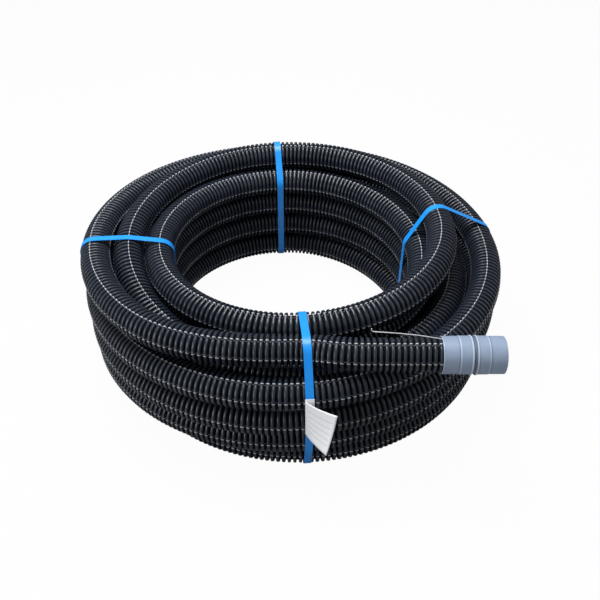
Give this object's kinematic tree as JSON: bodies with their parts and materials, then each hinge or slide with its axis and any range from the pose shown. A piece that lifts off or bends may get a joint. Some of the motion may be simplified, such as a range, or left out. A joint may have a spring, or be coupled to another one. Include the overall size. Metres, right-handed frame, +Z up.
{
  "type": "coil of corrugated hose",
  "caption": "Strapped coil of black corrugated plastic hose with a double-socket coupling on its free end, a draw wire and a blank flag label.",
  "frame": {"origin": "on the floor, in the middle of the coil's eye", "axes": "+Z up along the coil's axis; the free end runs along +X at the front, and its socket opens to +X"},
  "size_m": [0.729, 0.7641, 0.2684],
  "materials": {
    "hose": "black, semi-gloss",
    "coupling": "light blue-grey, semi-gloss",
    "seal": "black, matt",
    "strap": "blue, embossed",
    "label": "white, matt",
    "draw_wire": "light grey, smooth"
  },
  "bodies": {
    "coil": {"hose_coil": "hose", "hose_free_end": "hose", "strap_front": "strap", "strap_right": "strap", "strap_back": "strap", "strap_left": "strap", "label_wrap": "label", "draw_wire": "draw_wire"},
    "seal": {"seal_ring": "seal"},
    "coupling": {"coupling_sleeve": "coupling"},
    "label": {"label_flag": "label"}
  },
  "joints": [
    {"name": "coupling_turn", "type": "hinge", "parent": "coil", "child": "seal", "pos_m": [0.25, -0.31, 0.2325], "axis": [1, 0, 0], "continuous": true},
    {"name": "coupling_pull", "type": "slide", "parent": "seal", "child": "coupling", "axis": [1, 0, 0], "range_m": [0, 0.055]},
    {"name": "label_fold", "type": "hinge", "parent": "coil", "child": "label", "pos_m": [0.0238, -0.36345, 0.12109], "axis": [-0.0041, 0.0488, 0.9988], "range_deg": [-130, 34]}
  ]
}
